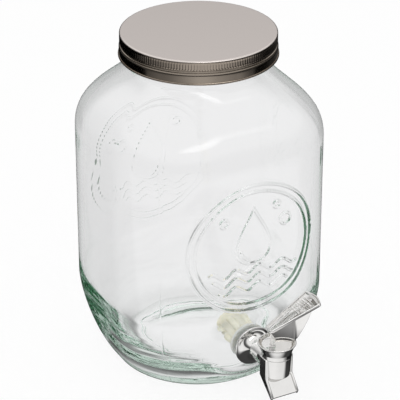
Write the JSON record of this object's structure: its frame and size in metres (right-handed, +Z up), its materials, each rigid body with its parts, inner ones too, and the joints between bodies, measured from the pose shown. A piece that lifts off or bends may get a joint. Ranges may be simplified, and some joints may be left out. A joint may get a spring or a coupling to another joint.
{
  "type": "glass jar dispenser with tap",
  "caption": "Wide-mouth rounded-square glass jar with a pressed metal screw lid and a chromed plug tap low on its front, for storing and pouring liquids such as detergent or drinks.",
  "frame": {"origin": "on the jar's upright axis, in the plane of the ring that the jar stands on", "axes": "+Z up along the jar's axis, the tap points along -Y, and the lever lies along +X while shut"},
  "size_m": [0.1614, 0.2097, 0.2523],
  "materials": {
    "clear_glass": "clear blown glass, smooth, slightly uneven",
    "lid_metal": "satin pressed sheet, bright on the knurls and the curled edge",
    "liner": "soft white foam",
    "chrome_plate": "bright chrome plating on moulded plastic",
    "plug_plastic": "moulded white plastic",
    "cream_plastic": "moulded cream plastic",
    "washer_rubber": "milky soft rubber",
    "seal_rubber": "black rubber"
  },
  "bodies": {
    "jar": {"glass_jar": "clear_glass", "tap_body": "chrome_plate", "retaining_collar": "chrome_plate", "inlet_shank": "cream_plastic", "outer_washer": "washer_rubber", "inner_washer": "washer_rubber", "lock_nut": "cream_plastic"},
    "seal": {"lid_liner": "liner"},
    "lid": {"lid_shell": "lid_metal"},
    "lever": {"valve_plug": "plug_plastic", "lever_handle": "chrome_plate", "upper_o_ring": "seal_rubber", "lower_o_ring": "seal_rubber"}
  },
  "joints": [
    {"name": "lid_rise", "type": "slide", "parent": "jar", "child": "seal", "axis": [0, 0, 1], "range_m": [0, 0.02032]},
    {"name": "lid_turn", "type": "hinge", "parent": "seal", "child": "lid", "pos_m": [0, 0, 0.25], "axis": [0, 0, 1], "range_deg": [0, 1440]},
    {"name": "lever_turn", "type": "hinge", "parent": "jar", "child": "lever", "pos_m": [0, -0.1153, 0.05], "axis": [0, 0, -1], "range_deg": [0, 90]}
  ],
  "couplings": [
    {"joint": "lid_rise", "follows": "lid_turn", "m_per_rad": 0.00080851}
  ]
}
